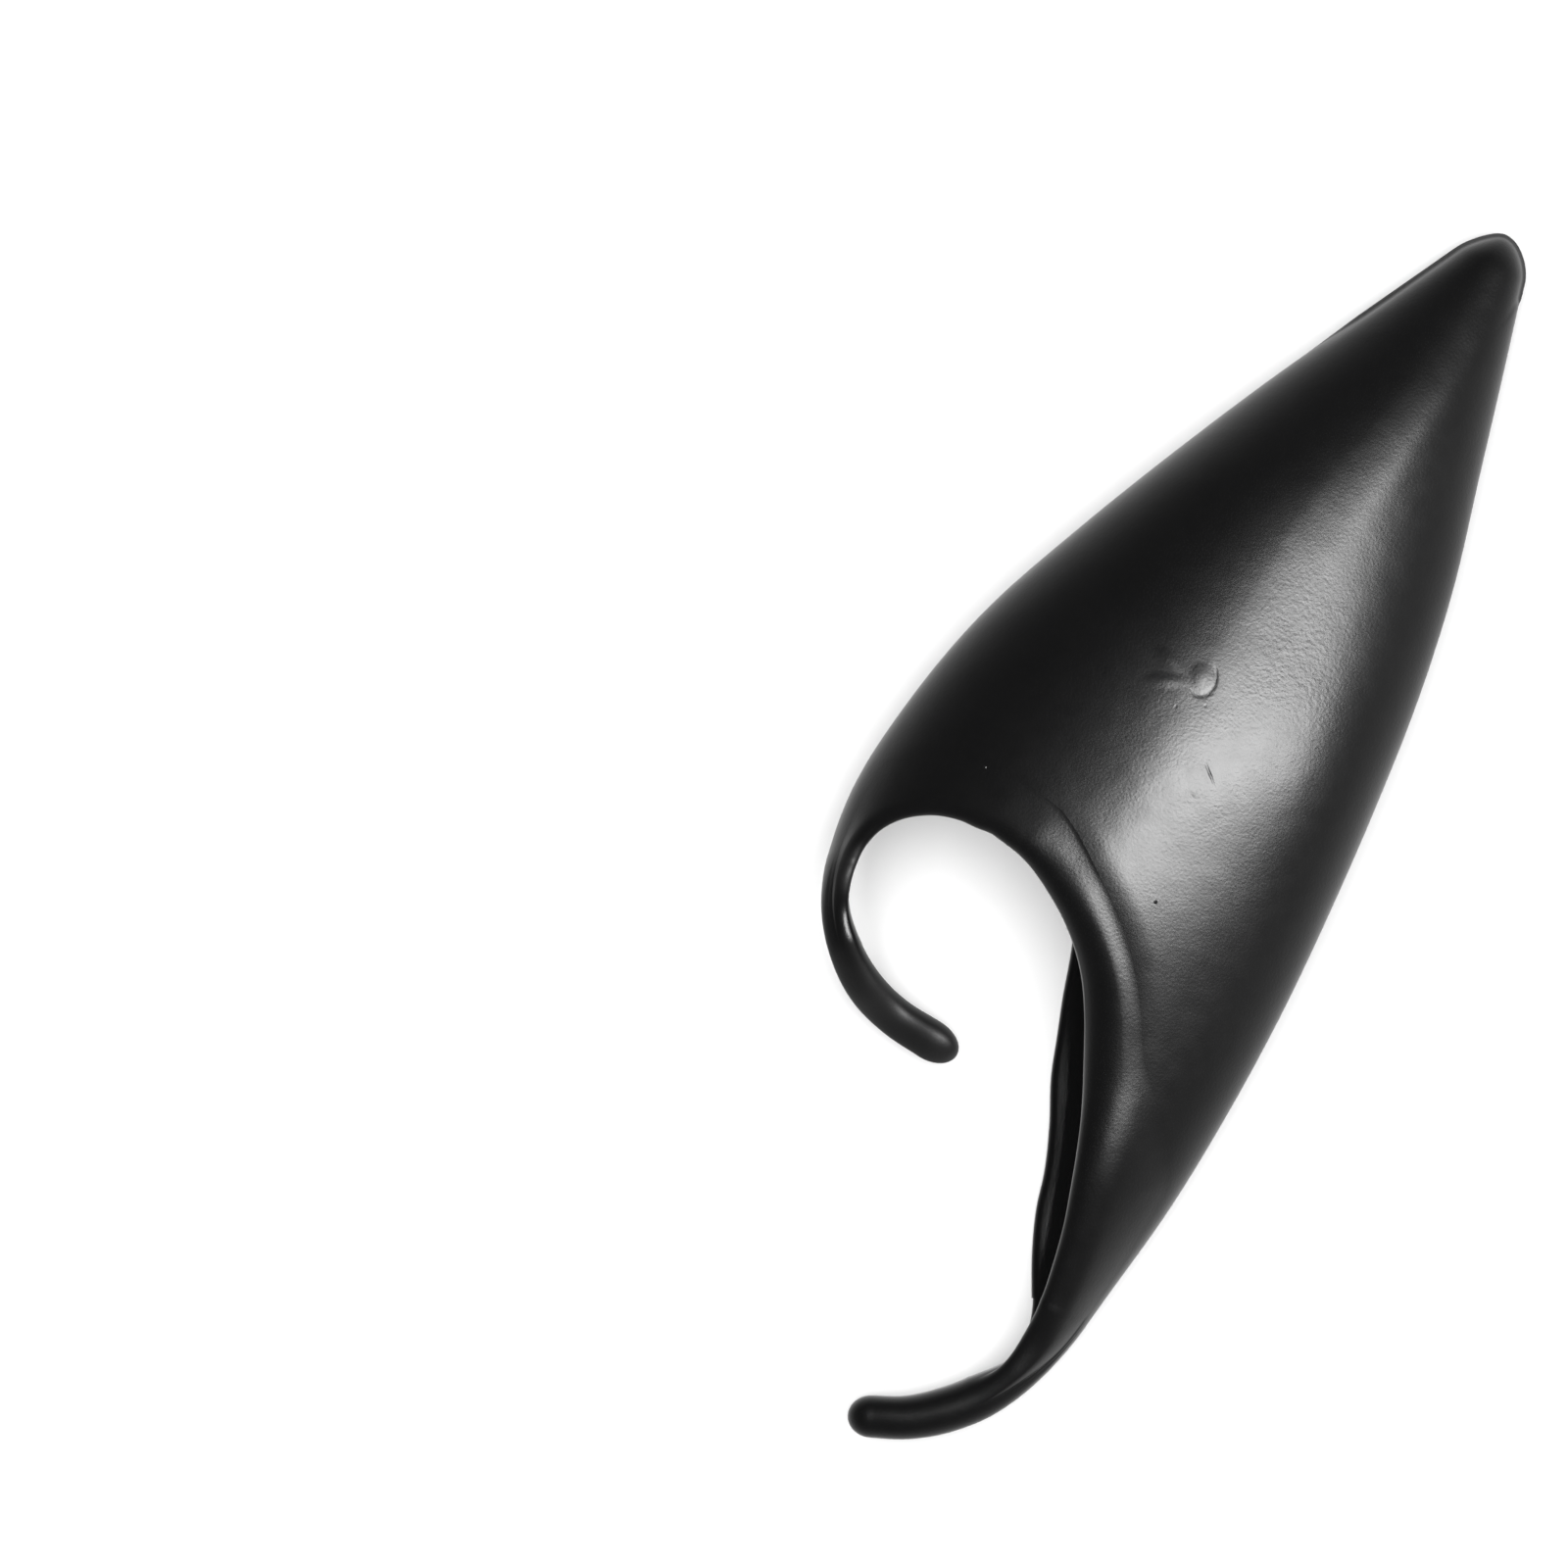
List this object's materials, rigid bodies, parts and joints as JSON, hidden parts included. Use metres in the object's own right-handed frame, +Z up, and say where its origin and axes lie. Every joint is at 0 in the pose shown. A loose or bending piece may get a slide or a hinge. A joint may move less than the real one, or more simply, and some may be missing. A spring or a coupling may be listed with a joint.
{
  "type": "elf ear tip",
  "caption": "Hollow slip-on pointed ear of black latex, with an open mouth for the wearer's ear, a short front hook and a long rear tail.",
  "frame": {"origin": "middle of the box round the part, on the surface that the part lies on", "axes": "+Z up and away from the back panel, +Y along the ear to its point, +X to the ear's rear edge"},
  "size_m": [0.0424, 0.1198, 0.0192],
  "materials": {
    "black_latex": "satin moulded latex"
  },
  "bodies": {
    "root": {"ear_tip_shell": "black_latex"}
  },
  "joints": []
}
